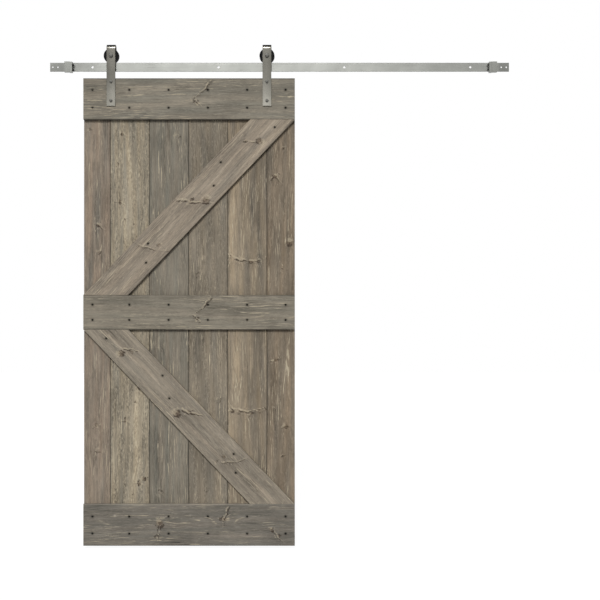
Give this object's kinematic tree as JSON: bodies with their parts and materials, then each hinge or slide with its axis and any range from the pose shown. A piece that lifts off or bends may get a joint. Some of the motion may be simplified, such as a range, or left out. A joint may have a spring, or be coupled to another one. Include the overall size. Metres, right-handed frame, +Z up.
{
  "type": "sliding barn door",
  "caption": "Sliding barn door of stained pine boards with rails and K braces, hung by two wheeled straps from a flat steel track.",
  "frame": {"origin": "middle of the track's row of four mounting holes, on the face towards the wall", "axes": "+X to the right seen from the room, +Y towards the wall, +Z up"},
  "size_m": [2.098, 0.0565, 2.2887],
  "materials": {
    "stained_pine": "grey stain, matt",
    "brushed_nickel": "brushed",
    "bolt_steel": "satin",
    "bearing_steel": "ground",
    "black_screws": "black, satin",
    "black_nylon": "turned",
    "black_rubber": "matt"
  },
  "bodies": {
    "track": {"track_bar": "brushed_nickel", "left_stop_clamp": "brushed_nickel", "right_stop_clamp": "brushed_nickel", "left_stop_plate": "brushed_nickel", "right_stop_plate": "brushed_nickel", "stop_buffers": "black_rubber", "stop_set_screws": "black_screws"},
    "door": {"board_1": "stained_pine", "board_2": "stained_pine", "board_3": "stained_pine", "board_4": "stained_pine", "board_5": "stained_pine", "board_6": "stained_pine", "top_rail": "stained_pine", "middle_rail": "stained_pine", "bottom_rail": "stained_pine", "upper_brace": "stained_pine", "lower_brace": "stained_pine", "top_rail_screws": "black_screws", "middle_rail_screws": "black_screws", "bottom_rail_screws": "black_screws", "upper_brace_screws": "black_screws", "lower_brace_screws": "black_screws", "left_hanger_strap": "brushed_nickel", "right_hanger_strap": "brushed_nickel", "axle_bolts": "bolt_steel", "axle_nuts": "bolt_steel", "axle_sleeves": "bearing_steel", "hanger_screws": "bolt_steel"},
    "left_wheel": {"left_wheel": "black_nylon"},
    "right_wheel": {"right_wheel": "black_nylon"}
  },
  "joints": [
    {"name": "door_slide", "type": "slide", "parent": "track", "child": "door", "axis": [1, 0, 0], "range_m": [-0.1483, 0.9851]},
    {"name": "left_wheel_spin", "type": "hinge", "parent": "door", "child": "left_wheel", "pos_m": [-0.7769, -0.003, 0.0508], "axis": [0, 1, 0], "continuous": true},
    {"name": "right_wheel_spin", "type": "hinge", "parent": "door", "child": "right_wheel", "pos_m": [-0.0657, -0.003, 0.0508], "axis": [0, 1, 0], "continuous": true}
  ],
  "couplings": [
    {"joint": "left_wheel_spin", "follows": "door_slide", "rad_per_m": 32.787},
    {"joint": "right_wheel_spin", "follows": "door_slide", "rad_per_m": 32.787}
  ]
}
